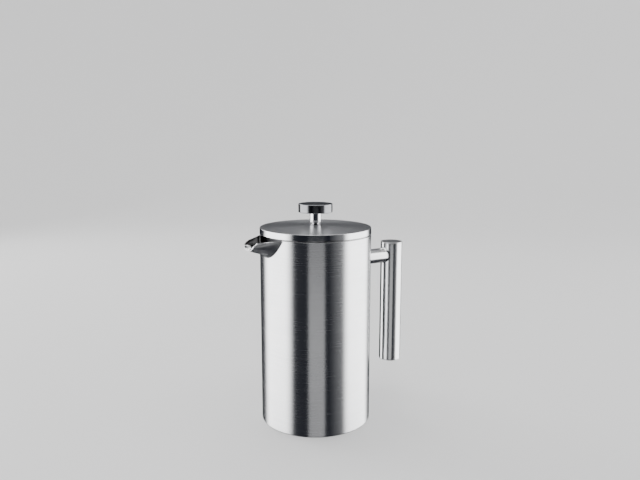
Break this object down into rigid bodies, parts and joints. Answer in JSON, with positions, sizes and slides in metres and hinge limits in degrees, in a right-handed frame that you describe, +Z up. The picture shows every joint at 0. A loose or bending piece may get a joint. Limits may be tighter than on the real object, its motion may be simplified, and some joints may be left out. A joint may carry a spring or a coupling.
{
  "type": "french press",
  "caption": "Insulated stainless-steel french press: double-walled cylindrical pot with a pressed spout and tube handle, a lift-off lid and a plunger with a sprung filter.",
  "frame": {"origin": "on the pot's axis, in the flat face that it stands on", "axes": "+Z up the pot's axis, +X towards the handle, so the spout points along -X"},
  "size_m": [0.1671, 0.1024, 0.2027],
  "materials": {
    "brushed_body": "brushed round the pot",
    "lid_steel": "brushed in circles",
    "knob_steel": "fine satin",
    "spout_steel": "satin outside, polished inside",
    "handle_steel": "bright satin",
    "polished_steel": "polished",
    "satin_steel": "satin",
    "inside_steel": "satin inside",
    "mesh_steel": "woven wire"
  },
  "bodies": {
    "pot": {"outer_shell": "brushed_body", "bottom_cover": "satin_steel", "inner_vessel": "inside_steel", "spout_throat": "inside_steel", "spout": "spout_steel", "handle_grip": "handle_steel", "handle_arm": "handle_steel", "handle_top_cap": "satin_steel", "handle_bottom_cap": "satin_steel"},
    "lid": {"lid_cap": "lid_steel", "lid_pan": "satin_steel"},
    "guide": {"guide_bush": "polished_steel", "bush_nut": "satin_steel"},
    "plunger": {"knob_disc": "knob_steel", "knob_neck": "polished_steel", "plunger_rod": "polished_steel", "rod_collar": "satin_steel", "filter_hub": "satin_steel", "cross_plate": "satin_steel", "coarse_screen": "mesh_steel", "fine_screen": "mesh_steel", "spring_plate": "satin_steel", "edge_spring": "polished_steel"}
  },
  "joints": [
    {"name": "lid_lift", "type": "slide", "parent": "pot", "child": "lid", "axis": [0, 0, 1], "range_m": [0, 0.18]},
    {"name": "plunger_turn", "type": "hinge", "parent": "lid", "child": "guide", "pos_m": [0, 0, 0.18], "axis": [0, 0, 1], "continuous": true},
    {"name": "plunger_slide", "type": "slide", "parent": "guide", "child": "plunger", "axis": [0, 0, 1], "range_m": [0, 0.135]}
  ]
}
